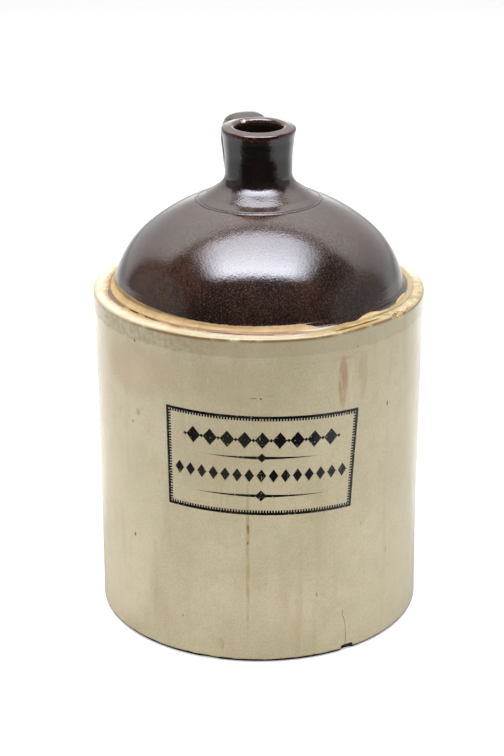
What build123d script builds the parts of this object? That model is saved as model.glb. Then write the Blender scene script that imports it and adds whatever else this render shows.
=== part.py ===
from build123d import *
import os
from math import copysign, cos, radians, sin, sqrt, tan

# A one-gallon stoneware shoulder jug. Four clay pieces are formed apart and joined while damp:
# a cylinder with a floor and a stacking rim, a dome whose foot sits in a rebate of that rim,
# a neck with a spread foot on the dome's crown, and a strap handle from the neck to the dome.
# Slip, a paste of the same clay, lutes the four joints and stays in them after firing.
# Millimetres, +Z up, origin under the middle of the base, handle on the +Y side.

# Cylinder: the sides, the floor and the foot that stands on the table
body_diameter = 178.0
body_height = 182.0
body_wall = 9.0
floor_thickness = 11.0
floor_corner_radius = 10.0
foot_bevel = 1.5
foot_ring_width = 13.0
base_hollow_depth = 1.2

# Stacking rim and the rebate inside it that takes the dome
ledge_width = 10.9
rim_rise = 1.2
rim_edge_radius = 2.0
rebate_depth = 3.0
seat_thickness = 5.0
corbel_angle = 45.0

# Luting slip: the bed in a joint, and what is squeezed out of it
slip_bed = 0.6
seam_width = 1.2
seam_bead = 0.5
slip_squeeze = 1.0

# Dome: a bare skirt at its foot, a tight knee and a flatter crown
dome_wall = 8.0
dome_height = 44.1
dome_lean = 13.2
knee_radius = 52.0
knee_angle = 37.0
foot_flare = 3.3
foot_side = 0.3
skirt_height = 2.8
crown_thickness = 6.0

# Neck: a spread foot that laps flatter at its edge, a waisted stem, a rolled lip, a tapering throat
neck_diameter = 35.8
neck_height = 38.1
neck_taper = 1.0
waist_height = 23.0
waist_radius = 40.0
collar_diameter = 64.8
collar_ledge = 1.6
collar_edge = 0.9
collar_edge_radius = 0.6
collar_lap = 3.9
collar_lap_slope = 20.0
collar_lap_radius = 8.0
collar_slope = 34.0
collar_radius = 9.0
lip_overhang = 0.75
lip_depth = 2.4
lip_fall = 0.9
lip_edge_radius = 0.9
mouth_diameter = 25.4
mouth_edge_radius = 1.5
throat_height = 12.0
throat_flare = 7.3
throat_radius = 7.0

# Strap handle: a crowned strap, narrow at the lip and widest over the bend, that comes down to
# the dome, where its tail is pressed out on the clay in a rounded tongue. Its sizes are given at
# the root, the bend, the strap, the tail and the tip; a share is how far along its line they lie.
root_width = 15.5
root_thickness = 7.0
root_edge = 4.4
root_angle = 22.0
bend_width = 21.2
bend_share = 0.27
strap_width = 22.8
strap_share = 0.50
strap_thickness = 9.5
strap_edge = 4.6
strap_edge_radius = 1.8
strap_rise = 1.8
bend_radius = 12.5
strap_clearance = 1.2
tail_width = 16.4
tail_share = 0.87
tail_thickness = 7.0
tail_edge = 4.0
tail_length = 7.0
tail_bend_radius = 9.0
tail_lift = 3.0
tip_width = 12.0
tip_thickness = 3.0
tip_edge = 2.0
tip_edge_radius = 0.8

# Radii and heights that follow from the sizes above
body_r = body_diameter / 2
body_inside_r = body_r - body_wall
foot_ring_r = body_r - foot_bevel - foot_ring_width
dome_r = body_r - ledge_width
dome_foot_r = dome_r + foot_flare
rebate_r = dome_foot_r + seam_width
lean = radians(dome_lean)
dome_inside_r = dome_r - dome_wall * cos(lean)
seat_z = body_height - rebate_depth
corbel_z = seat_z - seat_thickness
corbel_drop = (body_inside_r - dome_inside_r) * tan(radians(corbel_angle))
rim_top_z = body_height + rim_rise
dome_foot_z = seat_z + slip_bed
skirt_z = rim_top_z + foot_side
spring_z = skirt_z + skirt_height
crown_z = spring_z + dome_height
neck_r = neck_diameter / 2
neck_top_r = neck_r + neck_taper
lip_r = neck_top_r + lip_overhang
mouth_r = mouth_diameter / 2
throat_r = mouth_r + throat_flare
collar_r = collar_diameter / 2
crown_r = collar_r + collar_ledge
neck_z = crown_z + slip_bed
collar_z = neck_z + collar_edge
collar_lap_r = collar_r - collar_lap
collar_lap_z = collar_z + collar_lap * tan(radians(collar_lap_slope))
collar_corner_z = collar_lap_z + (collar_lap_r - neck_r) * tan(radians(collar_slope))
waist_z = neck_z + waist_height
mouth_z = neck_z + neck_height
lip_top_z = mouth_z - lip_fall
lip_low_z = lip_top_z - lip_depth
stem_top_z = lip_low_z - lip_overhang

# The crown is the arc that leaves the knee's end in line with it and runs to the neck's seat
knee_end_angle = lean + radians(knee_angle)
knee_end_r = dome_r + knee_radius * (cos(knee_end_angle) - cos(lean))
knee_end_z = spring_z + knee_radius * (sin(knee_end_angle) - sin(lean))
chord_r = crown_r - knee_end_r
chord_z = crown_z - knee_end_z
inward = -chord_r * cos(knee_end_angle) - chord_z * sin(knee_end_angle)
crown_radius = (chord_r**2 + chord_z**2) / (2 * inward)
crown_centre_r = knee_end_r - crown_radius * cos(knee_end_angle)
crown_centre_z = knee_end_z - crown_radius * sin(knee_end_angle)


def crown_height(radius):
    """Height of the dome's outside between the neck's seat and the knee, bulging or hollow."""
    rise = sqrt(crown_radius**2 - (radius - crown_centre_r) ** 2)
    return crown_centre_z + copysign(rise, crown_radius)


def dome_arcs(radius, start_r, start_z, end_r, end_z):
    """Draw one face of the dome: the knee from its spring point, then the crown in line with it."""
    knee = JernArc((start_r, start_z), (-sin(lean), cos(lean)), radius, knee_angle)
    TangentArc(knee @ 1, (end_r, end_z), tangent=knee % 1)


def neck_outside(coat):
    """Corners of the neck from its foot to the mouth, with a coat of slip on the stem and lip."""
    return [
        (collar_r, neck_z),
        (collar_r, collar_z),
        (collar_lap_r, collar_lap_z),
        (neck_r + coat, collar_corner_z),
        (neck_r + coat, waist_z),
        (neck_top_r + coat, stem_top_z),
        (lip_r + coat, lip_low_z),
        (lip_r + coat, lip_top_z),
        (mouth_r, mouth_z),
    ]


neck_outside_radii = [
    0,
    collar_edge_radius,
    collar_lap_radius,
    collar_radius,
    waist_radius,
    0,
    lip_edge_radius / 2,
    lip_edge_radius,
]


def strap_section(plane, width, thickness, edge, edge_radius):
    """The strap's section on a plane: flat on the finger side, crowned outside, rounded edges."""
    with BuildSketch(plane) as section:
        with BuildLine():
            Polyline(
                (-width / 2, thickness / 2 - edge),
                (-width / 2, thickness / 2),
                (width / 2, thickness / 2),
                (width / 2, thickness / 2 - edge),
            )
            ThreePointArc(
                (width / 2, thickness / 2 - edge),
                (0, -thickness / 2),
                (-width / 2, thickness / 2 - edge),
            )
        make_face()
        fillet(section.vertices(), edge_radius)
    return section.sketch


os.makedirs("parts", exist_ok=True)

# Cylinder: one turned profile from the hollow under the base round to the inside of the floor
with BuildPart() as body:
    with BuildSketch(Plane.XZ):
        with BuildLine():
            FilletPolyline(
                (0, base_hollow_depth),
                (foot_ring_r - base_hollow_depth, base_hollow_depth),
                (foot_ring_r, 0),
                (body_r - foot_bevel, 0),
                (body_r, foot_bevel),
                (body_r, body_height),
                (rebate_r, rim_top_z),
                (rebate_r, seat_z),
                (dome_inside_r, seat_z),
                (dome_inside_r, corbel_z),
                (body_inside_r, corbel_z - corbel_drop),
                (body_inside_r, floor_thickness),
                (0, floor_thickness),
                radius=[0, 0, 0, 0, 0, rim_edge_radius, 0, 0, 0, 0, 0, floor_corner_radius, 0],
                close=True,
            )
        make_face()
    revolve(axis=Axis.Z)
body.part.label = "body"
export_step(body.part, "parts/body.step")

# Seam of the shoulder: a bed under the dome's foot and a bead that rises beside it at the rim
with BuildPart() as shoulder_seam_slip:
    with BuildSketch(Plane.XZ):
        with BuildLine():
            Polyline(
                (dome_foot_r, rim_top_z),
                (dome_foot_r, dome_foot_z),
                (dome_inside_r, dome_foot_z),
                (dome_inside_r, seat_z),
                (rebate_r, seat_z),
                (rebate_r, rim_top_z),
            )
            ThreePointArc(
                (rebate_r, rim_top_z),
                ((rebate_r + dome_foot_r) / 2, rim_top_z + seam_bead),
                (dome_foot_r, rim_top_z),
            )
        make_face()
    revolve(axis=Axis.Z)
shoulder_seam_slip.part.label = "shoulder_seam_slip"
export_step(shoulder_seam_slip.part, "parts/shoulder_seam_slip.step")

# Dome: the foot and its skirt, the outer knee and crown, the flat seat of the neck, the inside
with BuildPart() as shoulder_dome:
    with BuildSketch(Plane.XZ):
        with BuildLine():
            Polyline(
                (dome_inside_r, spring_z - dome_wall * sin(lean)),
                (dome_inside_r, dome_foot_z),
                (dome_foot_r, dome_foot_z),
                (dome_foot_r, skirt_z),
                (dome_r, spring_z),
            )
            dome_arcs(knee_radius, dome_r, spring_z, crown_r, crown_z)
            Polyline((crown_r, crown_z), (throat_r, crown_z), (throat_r, crown_z - crown_thickness))
            dome_arcs(
                knee_radius - dome_wall,
                dome_inside_r,
                spring_z - dome_wall * sin(lean),
                throat_r,
                crown_z - crown_thickness,
            )
        make_face()
    revolve(axis=Axis.Z)
shoulder_dome.part.label = "shoulder_dome"
export_step(shoulder_dome.part, "parts/shoulder_dome.step")

# Seam of the neck: a flat ring under the neck's foot, with a fillet squeezed out round it
with BuildPart() as neck_seam_slip:
    with BuildSketch(Plane.XZ):
        with BuildLine():
            Polyline(
                (collar_r, neck_z),
                (throat_r, neck_z),
                (throat_r, crown_z),
                (collar_r + slip_squeeze, crown_z),
                (collar_r, neck_z),
            )
        make_face()
    revolve(axis=Axis.Z)
neck_seam_slip.part.label = "neck_seam_slip"
export_step(neck_seam_slip.part, "parts/neck_seam_slip.step")

# Neck: spread foot, stem and lip outside, then the mouth, its bore and the throat inside
with BuildPart() as neck:
    with BuildSketch(Plane.XZ):
        with BuildLine():
            FilletPolyline(
                *neck_outside(0),
                (mouth_r, neck_z + throat_height),
                (throat_r, neck_z),
                radius=[*neck_outside_radii, mouth_edge_radius, throat_radius, 0],
                close=True,
            )
        make_face()
    revolve(axis=Axis.Z)
neck.part.label = "neck"
export_step(neck.part, "parts/neck.step")

# The neck's stem and the dome's outside as full forms, bare and under their coat of slip.
# The seams of the handle lie between the two, and the handle ends on the coated ones.
with BuildPart() as bare_neck_form:
    with BuildSketch(Plane.XZ):
        with BuildLine():
            FilletPolyline(
                (0, neck_z),
                *neck_outside(0),
                (0, mouth_z),
                radius=[0, *neck_outside_radii, 0, 0],
                close=True,
            )
        make_face()
    revolve(axis=Axis.Z)

with BuildPart() as coated_neck_form:
    with BuildSketch(Plane.XZ):
        with BuildLine():
            FilletPolyline(
                (0, neck_z),
                *neck_outside(slip_bed),
                (0, mouth_z),
                radius=[0, *neck_outside_radii, 0, 0],
                close=True,
            )
        make_face()
    revolve(axis=Axis.Z)

with BuildPart() as bare_dome_form:
    with BuildSketch(Plane.XZ):
        with BuildLine():
            Polyline((crown_r, crown_z), (0, crown_z), (0, spring_z), (dome_r, spring_z))
            dome_arcs(knee_radius, dome_r, spring_z, crown_r, crown_z)
        make_face()
    revolve(axis=Axis.Z)

coated_dome_form = Pos(0, 0, slip_bed) * bare_dome_form.part

# The strap's middle line: out and up from the stem, over the bend, down, and out along the dome
root_slope = radians(root_angle)
strap_y = crown_r + strap_clearance + strap_thickness / 2
bend_y = strap_y - bend_radius
bend_z = mouth_z + strap_rise - strap_thickness / 2 - bend_radius
root_y = neck_r / 2
root_z = bend_z + bend_radius / cos(root_slope) + (root_y - bend_y) * tan(root_slope)
tail_y = strap_y + strap_thickness / 2 + tail_length
strap_line = [
    (root_y, root_z),
    (strap_y, bend_z + bend_radius * (1 / cos(root_slope) + tan(root_slope))),
    (strap_y, crown_height(strap_y) + tail_lift),
    (tail_y, crown_height(tail_y)),
]
root_sizes = (root_width, root_thickness, root_edge, strap_edge_radius)
bend_sizes = (bend_width, strap_thickness, strap_edge, strap_edge_radius)
strap_sizes = (strap_width, strap_thickness, strap_edge, strap_edge_radius)
tail_sizes = (tail_width, tail_thickness, tail_edge, strap_edge_radius)
tip_sizes = (tip_width, tip_thickness, tip_edge, tip_edge_radius)
strap_stations = {
    0.0: root_sizes,
    bend_share: bend_sizes,
    strap_share: strap_sizes,
    tail_share: tail_sizes,
    1.0: tip_sizes,
}

with BuildPart() as strap_handle:
    with BuildLine(Plane.YZ) as strap_path:
        FilletPolyline(*strap_line, radius=[bend_radius, tail_bend_radius])
    path = strap_path.wire()
    sections = [
        strap_section(Plane(path @ share, x_dir=(1, 0, 0), z_dir=path % share), *sizes)
        for share, sizes in strap_stations.items()
    ]
    sweep(sections, path=path, multisection=True)
    add(coated_neck_form.part, mode=Mode.SUBTRACT)
    add(coated_dome_form, mode=Mode.SUBTRACT)
strap_handle.part.label = "strap_handle"
export_step(strap_handle.part, "parts/strap_handle.step")

# Upper seam of the handle: the coat of slip on the stem, where the strap's root is pressed on it
root_print = strap_section(
    Plane(path @ 0, x_dir=(1, 0, 0), z_dir=path % 0),
    root_width + 2 * slip_squeeze,
    root_thickness + 2 * slip_squeeze,
    root_edge + 2 * slip_squeeze,
    strap_edge_radius,
)
with BuildPart() as handle_upper_slip:
    extrude(root_print, amount=neck_r)
    add(coated_neck_form.part, mode=Mode.INTERSECT)
    add(bare_neck_form.part, mode=Mode.SUBTRACT)
handle_upper_slip.part.label = "handle_upper_slip"
export_step(handle_upper_slip.part, "parts/handle_upper_slip.step")

# Lower seam of the handle: the coat of slip on the dome, under the strap's spread tail
tail_print_x = tail_width / 2 + slip_squeeze
tip_print_x = tip_width / 2 + slip_squeeze
print_inner_y = strap_y - strap_thickness / 2 - slip_squeeze
print_middle_y = strap_y + strap_thickness / 2
print_outer_y = tail_y + slip_squeeze
with BuildPart() as handle_lower_slip:
    with BuildSketch(Plane.XY.offset(spring_z)):
        with BuildLine():
            FilletPolyline(
                (-tail_print_x, print_inner_y),
                (tail_print_x, print_inner_y),
                (tail_print_x, print_middle_y),
                (tip_print_x, print_outer_y),
                (-tip_print_x, print_outer_y),
                (-tail_print_x, print_middle_y),
                radius=strap_edge_radius,
                close=True,
            )
        make_face()
    extrude(amount=dome_height + strap_thickness)
    add(coated_dome_form, mode=Mode.INTERSECT)
    add(bare_dome_form.part, mode=Mode.SUBTRACT)
handle_lower_slip.part.label = "handle_lower_slip"
export_step(handle_lower_slip.part, "parts/handle_lower_slip.step")
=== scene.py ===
from math import acos, ceil, cos, pi, radians, sin, tan

import bmesh
import bpy
import numpy as np
from mathutils import Matrix, Vector


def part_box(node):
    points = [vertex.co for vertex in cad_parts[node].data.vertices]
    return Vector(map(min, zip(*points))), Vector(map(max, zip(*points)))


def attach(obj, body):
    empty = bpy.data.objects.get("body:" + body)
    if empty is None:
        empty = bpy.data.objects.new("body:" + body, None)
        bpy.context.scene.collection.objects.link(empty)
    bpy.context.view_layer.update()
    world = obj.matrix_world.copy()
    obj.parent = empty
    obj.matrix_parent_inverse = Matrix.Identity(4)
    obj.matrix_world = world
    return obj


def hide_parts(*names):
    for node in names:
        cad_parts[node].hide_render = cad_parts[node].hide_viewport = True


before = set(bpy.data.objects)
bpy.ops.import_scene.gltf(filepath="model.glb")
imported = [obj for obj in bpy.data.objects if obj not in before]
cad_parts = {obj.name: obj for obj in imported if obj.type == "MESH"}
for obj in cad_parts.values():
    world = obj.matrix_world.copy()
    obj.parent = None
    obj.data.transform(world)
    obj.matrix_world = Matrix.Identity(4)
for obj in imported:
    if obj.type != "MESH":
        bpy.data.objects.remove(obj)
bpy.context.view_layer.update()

# The view: the jug stands on a white table below the eye, its handle behind it and a little to the
# left. Lengths in this file are millimetres, and only a finished mesh, lamp or camera is in metres.
MM = 0.001
view_turn = radians(14.0)
eye_distance = 938.4
eye_height = 490.9
eye_heading = radians(0.231)
eye_dip = radians(21.154)
eye_roll = radians(-0.130)
lens_length = 86.77
to_eye = Vector((-sin(view_turn), -cos(view_turn), 0))
to_right = Vector((cos(view_turn), -sin(view_turn), 0))

eye = bpy.data.objects.new("eye", bpy.data.cameras.new("eye"))
bpy.context.scene.collection.objects.link(eye)
bpy.context.scene.camera = eye
eye.data.lens = lens_length
eye.data.clip_end = 100.0
eye.matrix_world = (
    Matrix.Translation(MM * (to_eye * eye_distance + Vector((0, 0, eye_height))))
    @ Matrix.Rotation(eye_heading - view_turn, 4, "Z")
    @ Matrix.Rotation(pi / 2 - eye_dip, 4, "X")
    @ Matrix.Rotation(eye_roll, 4, "Z")
)

# Cylinder: the tall wall of the jug with its floor, formed in one piece of buff stoneware. Outside it
# has a milky cream glaze that stops at the foot, and its rim is a flat ledge that the dome stands in.
body_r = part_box("body")[1].x / MM
rim_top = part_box("body")[1].z / MM
rim_drop = 0.4
rim_edge_z = rim_top - rim_drop
wall = 9.0
floor_top = 11.0
floor_corner = 10.0
ledge_inner_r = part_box("shoulder_seam_slip")[1].x / MM
seat_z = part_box("shoulder_seam_slip")[0].z / MM
seat_depth = 5.0
opening_r = 70.31
foot_bevel = 1.5
foot_height = 6.0
foot_ring_r = 74.5
base_hollow = 1.2
line_below_rim = 9.0
dip_z = rim_edge_z - line_below_rim
dip_depth = 0.15
waist_depth, shoulder_swell, wall_drift, rim_drift = 0.5, 0.35, 0.22, 0.2


def rounded_line(corners, radii, spacings, ring=False):
    """A profile as (radius, height) points: straight runs between corners, each corner replaced by the
    arc of its radius that touches both runs, and each run divided into steps of its own spacing."""
    corners = np.array(corners, float)
    before = np.roll(corners, 1, axis=0) - corners
    after = np.roll(corners, -1, axis=0) - corners
    before /= np.linalg.norm(before, axis=1)[:, None]
    after /= np.linalg.norm(after, axis=1)[:, None]
    arcs = []
    for corner, radius, back, on in zip(corners, radii, before, after):
        half = acos(np.clip(back @ on, -1, 1)) / 2
        if radius == 0:
            arcs.append(corner[None])
            continue
        middle = corner + (back + on) / np.linalg.norm(back + on) * radius / sin(half)
        first = corner + back * radius / tan(half) - middle
        last = corner + on * radius / tan(half) - middle
        sweep = pi - 2 * half
        share = np.linspace(0, 1, max(4, ceil(sweep / radians(12))) + 1)[:, None]
        swung = np.sin((1 - share) * sweep) * first + np.sin(share * sweep) * last
        arcs.append(middle + swung / sin(sweep))
    if ring:
        arcs.append(arcs[0][:1])
    points = []
    for arc, following, spacing in zip(arcs[:-1], arcs[1:], spacings):
        run = following[0] - arc[-1]
        share = np.linspace(0, 1, ceil(np.linalg.norm(run) / spacing) + 1)[1:-1, None]
        points += [arc, arc[-1] + run * share]
    return np.vstack(points + arcs[-1:]).T


def turns(*close_stretches):
    """Turns round the jug, from the side that faces the eye and to the right, closer on some stretches.
    A stretch is its first and last turn in degrees and how many turns it gets."""
    all_round = (-180, 180, 241)
    grids = [np.linspace(*stretch) for stretch in (all_round, *close_stretches)]
    return np.radians(np.unique(np.round(np.concatenate(grids), 3)))


def drift(turn, height, waves):
    """A slow uneven drift between -1 and 1: a sum of waves round the jug that turn with the height."""
    parts = [np.sin(n * turn + 1.7 * n * n + 0.02 * n * height) / n for n in waves]
    return sum(parts) / sum(1 / n for n in waves)


def hump(value, middle, half):
    """A smooth hump: 1 at the middle and 0 from half a width away, (1 - (distance / half)^2)^2."""
    return np.clip(1 - ((value - middle) / half) ** 2, 0, None) ** 2


def rise(value, low, high):
    """0 below low, 1 above high and a smooth step between, 3t^2 - 2t^3."""
    t = np.clip((value - low) / (high - low), 0, 1)
    return t * t * (3 - 2 * t)


def round_the_axis(radius, height, turn):
    """Points at a radius, height and turn: x = r sin(t - a), y = -r cos(t - a), a the view's turn."""
    radius, height, turn = np.broadcast_arrays(radius, height, turn)
    return np.stack([radius * np.sin(turn - view_turn), -radius * np.cos(turn - view_turn), height], -1)


def surface(name, points, unrolled=None, **readings):
    """A piece from a grid of points, rows by columns. Equal points at its seam and poles are merged.
    Unrolled is a flat place for each point, and readings are values for each point."""
    rows, columns = points.shape[:2]
    index = np.arange(rows * columns).reshape(rows, columns)
    corners = np.stack([index[:-1, :-1], index[:-1, 1:], index[1:, 1:], index[1:, :-1]], -1)
    corners = corners.reshape(-1, 4)
    mesh = bpy.data.meshes.new(name)
    mesh.from_pydata((points.reshape(-1, 3) * MM).tolist(), [], corners.tolist())
    for reading, values in readings.items():
        layer = mesh.attributes.new(reading, "FLOAT", "POINT")
        values = np.broadcast_to(values, (rows, columns))
        layer.data.foreach_set("value", values.astype(np.float32).ravel())
    if unrolled is not None:
        layer = mesh.uv_layers.new(name="unrolled")
        flat = unrolled.reshape(-1, 2)[corners.ravel()]
        layer.uv.foreach_set("vector", flat.astype(np.float32).ravel())
    merged = bmesh.new()
    merged.from_mesh(mesh)
    bmesh.ops.remove_doubles(merged, verts=merged.verts, dist=0.001 * MM)
    merged.to_mesh(mesh)
    merged.free()
    mesh.polygons.foreach_set("use_smooth", np.ones(len(mesh.polygons), bool))
    piece = bpy.data.objects.new(name, mesh)
    bpy.context.scene.collection.objects.link(piece)
    return piece


class Recipe:
    """A node tree for a finish or for the room's light, with short ways to add what it depends on.
    Lengths are millimetres, and a colour is three numbers from 0 to 255, as a screen shows it."""

    def __init__(self, owner):
        self.owner = owner
        owner.use_nodes = True
        self.tree = owner.node_tree
        self.coordinates = self.node("TexCoord").outputs

    def node(self, kind, **settings):
        made = self.tree.nodes.new("ShaderNode" + kind)
        for setting, value in settings.items():
            setattr(made, setting, value)
        return made

    def put(self, socket, value):
        """Link a socket to another node's value, or set it."""
        if isinstance(value, bpy.types.NodeSocket):
            self.tree.links.new(value, socket)
        elif socket.type == "RGBA":
            shown = np.array(value) / 255
            linear = np.where(shown < 0.04045, shown / 12.92, ((shown + 0.055) / 1.055) ** 2.4)
            socket.default_value = (*linear, 1)
        else:
            socket.default_value = value

    def feed(self, node, **values):
        """Put values into a node's inputs by name, with an underscore for a space."""
        for name, value in values.items():
            self.put(node.inputs[name.replace("_", " ")], value)
        return node

    def math(self, operation, *values):
        made = self.node("Math", operation=operation)
        for socket, value in zip(made.inputs, values):
            self.put(socket, value)
        return made.outputs[0]

    def chain(self, operation, values):
        total = values[0]
        for value in values[1:]:
            total = self.math(operation, total, value)
        return total

    def plus(self, *values):
        return self.chain("ADD", values)

    def minus(self, value, less):
        return self.math("SUBTRACT", value, less)

    def times(self, *values):
        return self.chain("MULTIPLY", values)

    def most(self, *values):
        return self.chain("MAXIMUM", values)

    def rise(self, value, low, high):
        """0 below low, 1 above high and a smooth step between; the reverse where low is the higher."""
        made = self.node("MapRange", interpolation_type="SMOOTHSTEP")
        first, last = (0.0, 1.0) if low < high else (1.0, 0.0)
        self.feed(made, Value=value, From_Min=min(low, high), From_Max=max(low, high))
        self.feed(made, To_Min=first, To_Max=last)
        return made.outputs[0]

    def between(self, value, low, high, soft):
        """1 from low to high, with a soft edge on both sides."""
        up = self.rise(value, low - soft, low + soft)
        return self.times(up, self.rise(value, high + soft, high - soft))

    def parts(self, vector):
        return self.feed(self.node("SeparateXYZ"), Vector=vector).outputs

    def along(self, vector, direction):
        """How far a vector reaches in a direction."""
        made = self.feed(self.node("VectorMath", operation="DOT_PRODUCT"), Vector=vector)
        made.inputs[1].default_value = direction
        return made.outputs["Value"]

    def read(self, reading):
        return self.node("Attribute", attribute_name=reading).outputs["Fac"]

    def scaled(self, size, stretch):
        """The place on the jug, in units of a size."""
        scale = Vector([1 / (size * MM * s) for s in stretch])
        return self.feed(self.node("Mapping"), Vector=self.coordinates["Object"], Scale=scale).outputs[0]

    def mottle(self, size, seed, detail=3.0, stretch=(1, 1, 1)):
        """Cloudy noise around 0.5, with clouds of about a size."""
        made = self.node("TexNoise", noise_dimensions="4D")
        self.feed(made, Vector=self.scaled(size, stretch), W=seed, Scale=1.0, Detail=detail)
        return made.outputs[0]

    def specks(self, spacing, seed, share, radius, stretch=(1, 1, 1)):
        """Round specks up to a radius, at a share of the places that lie about a spacing apart."""
        made = self.node("TexVoronoi", voronoi_dimensions="4D")
        self.feed(made, Vector=self.scaled(spacing, stretch), W=seed, Scale=1.0)
        kind = self.parts(made.outputs["Color"])[0]
        size = self.times(self.rise(kind, 1 - share, 1.0), radius / spacing)
        return self.rise(self.minus(size, made.outputs["Distance"]), 0.0, 0.15 / spacing)

    def lay(self, under, over, *shares):
        """One colour laid over another, at a share from 0 to 1 that is the product of some shares."""
        share = self.times(*shares)
        made = self.node("Mix", data_type="RGBA")
        for socket, value in ((0, share), (6, under), (7, over)):
            self.put(made.inputs[socket], value)
        return made.outputs[2]

    def finish(self, colour, roughness, relief, depth, ior):
        """Colour, gloss and a fine relief, up to a depth, on the finish's own surface."""
        bump = self.feed(self.node("Bump"), Height=relief, Distance=depth * MM)
        self.feed(
            self.tree.nodes["Principled BSDF"],
            Base_Color=colour, Roughness=roughness, Normal=bump.outputs[0], IOR=ior,
        )
        return self.owner


def slip_gap(degrees):
    """How far the slip at the ledge is missing at a turn, from 0 to 1: a gap on the left."""
    return hump(degrees, -71, 13) ** 0.4


def ledge_shift(degrees):
    """How far in from its circle the ledge's inner edge lies at a turn: in on the left, out before
    and at the gap in the slip."""
    return 2.2 * hump(degrees, -62, 80) - 1.8 * slip_gap(degrees) - 2.2 * hump(degrees, 10, 65)


def rim_lift(degrees):
    """How far the rim stands above its level at a turn: higher on the right."""
    return 1.2 * hump(degrees, 44, 26)


body_line = rounded_line(
    [
        (0, base_hollow),
        (foot_ring_r - base_hollow, base_hollow),
        (foot_ring_r, 0),
        (body_r - foot_bevel, 0),
        (body_r, foot_bevel),
        (body_r, foot_height),
        (body_r, dip_z),
        (body_r, rim_edge_z),
        (ledge_inner_r, rim_top),
        (ledge_inner_r, seat_z),
        (opening_r, seat_z),
        (opening_r, seat_z - seat_depth),
        (body_r - wall, seat_z - seat_depth - (body_r - wall - opening_r)),
        (body_r - wall, floor_top),
        (0, floor_top),
    ],
    [0, 0.5, 0.4, 0.5, 0.8, 0, 0, 1.6, 0.5, 0.3, 0.3, 0.8, 4, floor_corner, 0],
    [15, 1, 4, 1, 0.4, 5, 0.8, 0.8, 2, 4, 4, 4, 10, 15],
)
body_turn = turns((27, 38, 45), (-23, -12, 30), (46, 64, 90))
body_degrees = np.degrees(body_turn)
line_r, line_z = (values[:, None] for values in body_line)
waist = waist_depth * np.sin(pi * line_z / rim_top) - shoulder_swell * rise(line_z, 150, 176)
dip_line = dip_depth * rise(line_z, dip_z - 1, dip_z + 0.5)
on_wall = rise(line_r, body_r - 4, body_r - 3)
at_seat = hump(line_r, ledge_inner_r, 3.5) * rise(line_z, seat_z + 1, rim_top - 0.3)
wall_shift = on_wall * (wall_drift * drift(body_turn, line_z, (2, 3, 5)) - waist + dip_line)
body_radius = line_r + wall_shift - ledge_shift(body_degrees) * at_seat
uneven = rim_drift * drift(body_turn, line_z, (2, 3, 4, 7, 15))
body_height = line_z + uneven * rise(line_z, seat_z, rim_top)
body_height = body_height + rim_lift(body_degrees) * rise(line_z, rim_top - 6, rim_edge_z - 1)

# Chips: a deep and a shallow one in the foot, and a long and a short one in the rim
foot_chip = hump(body_degrees, 32.1, 2.6) ** 0.35 * rise(-line_z, -3.8, -3.0)
foot_chip += 0.5 * hump(body_degrees, -17.5, 3.6) ** 0.4 * rise(-line_z, -1.8, -1.2)
ragged = 0.8 + 0.35 * drift(40 * body_turn, 0, (1, 2, 3))
rim_chip = hump(body_degrees, 53.4, 4.0) ** 0.3 * ragged + 0.35 * hump(body_degrees, 61, 1.4)
rim_chip = rim_chip * hump(line_r, body_r, 3.2) * hump(line_z, rim_edge_z, 2.4)
foot_chip_depth, rim_chip_depth, rim_chip_fall = 1.1, 1.3, 0.9
body_radius = body_radius - foot_chip_depth * foot_chip * rise(line_r, foot_ring_r + 6, body_r - 2)
body_radius = body_radius - rim_chip_depth * rim_chip
body_height = body_height - rim_chip_fall * rim_chip
worn = 0.3 + 0.7 * rise(body_degrees, -55, -35) * (1 - rise(body_degrees, 110, 150))
rim_edge = rise(line_r, body_r - 1.6, body_r - 0.9) * hump(line_z, rim_edge_z - 1.0, 1.1) * worn

jug_body = surface(
    "jug_body",
    round_the_axis(body_radius, body_height, body_turn),
    np.stack(np.broadcast_arrays(body_turn * body_r, line_z), -1),
    chipped=foot_chip + 1.5 * rim_chip,
    inside=1 - rise(line_r, body_r - wall + 0.2, body_r - wall + 1.5),
    ledge=rise(line_z, rim_edge_z - 0.7, rim_edge_z),
    across=(line_r - ledge_inner_r) / (body_r - ledge_inner_r),
    edge=rim_edge,
)

cream = Recipe(bpy.data.materials.new("cream_glaze"))
around, up = cream.parts(cream.node("UVMap", uv_map="unrolled").outputs[0])[:2]


def mark(turn, height, half_width, half_height):
    """A soft-edged oval on the wall, with its middle at a turn in degrees and a height."""
    wide = cream.times(cream.minus(around, radians(turn) * body_r), 1 / half_width)
    high = cream.times(cream.minus(up, height), 1 / half_height)
    return cream.rise(cream.plus(cream.times(wide, wide), cream.times(high, high)), 1.0, 0.3)


broad = cream.mottle(45, 1.0)
small = cream.mottle(8, 2.0)
grain = cream.mottle(0.8, 3.0, 2.0)
streaky = cream.mottle(7, 5.0, 3.0, (1, 1, 10))
colour = cream.lay((206, 194, 160), (218, 206, 173), cream.rise(broad, 0.35, 0.65))
colour = cream.lay(colour, (206, 183, 148), cream.rise(small, 0.45, 0.7), 0.4)
colour = cream.lay(colour, (196, 187, 151), cream.rise(cream.mottle(17, 4.0), 0.5, 0.72), 0.4)
colour = cream.lay(colour, (187, 164, 126), cream.rise(streaky, 0.5, 0.78), 0.4)
colour = cream.lay(colour, (152, 138, 108), cream.rise(grain, 0.42, 0.7), 0.24)
colour = cream.lay(colour, (218, 207, 180), cream.rise(grain, 0.55, 0.3), 0.14)
# Painted shade and light: the wall's right side is darker and greyer and its left side lighter, as the
# light falls on them
painted_shade_right_side = cream.times(cream.rise(around, 30.0, 110.0), cream.rise(around, 260.0, 170.0))
colour = cream.lay(colour, (190, 184, 158), painted_shade_right_side, 0.45)
painted_light_left_side = cream.times(cream.rise(around, -40.0, -110.0), cream.rise(around, -260.0, -170.0))
colour = cream.lay(colour, (220, 208, 176), painted_light_left_side, 0.5)
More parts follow.
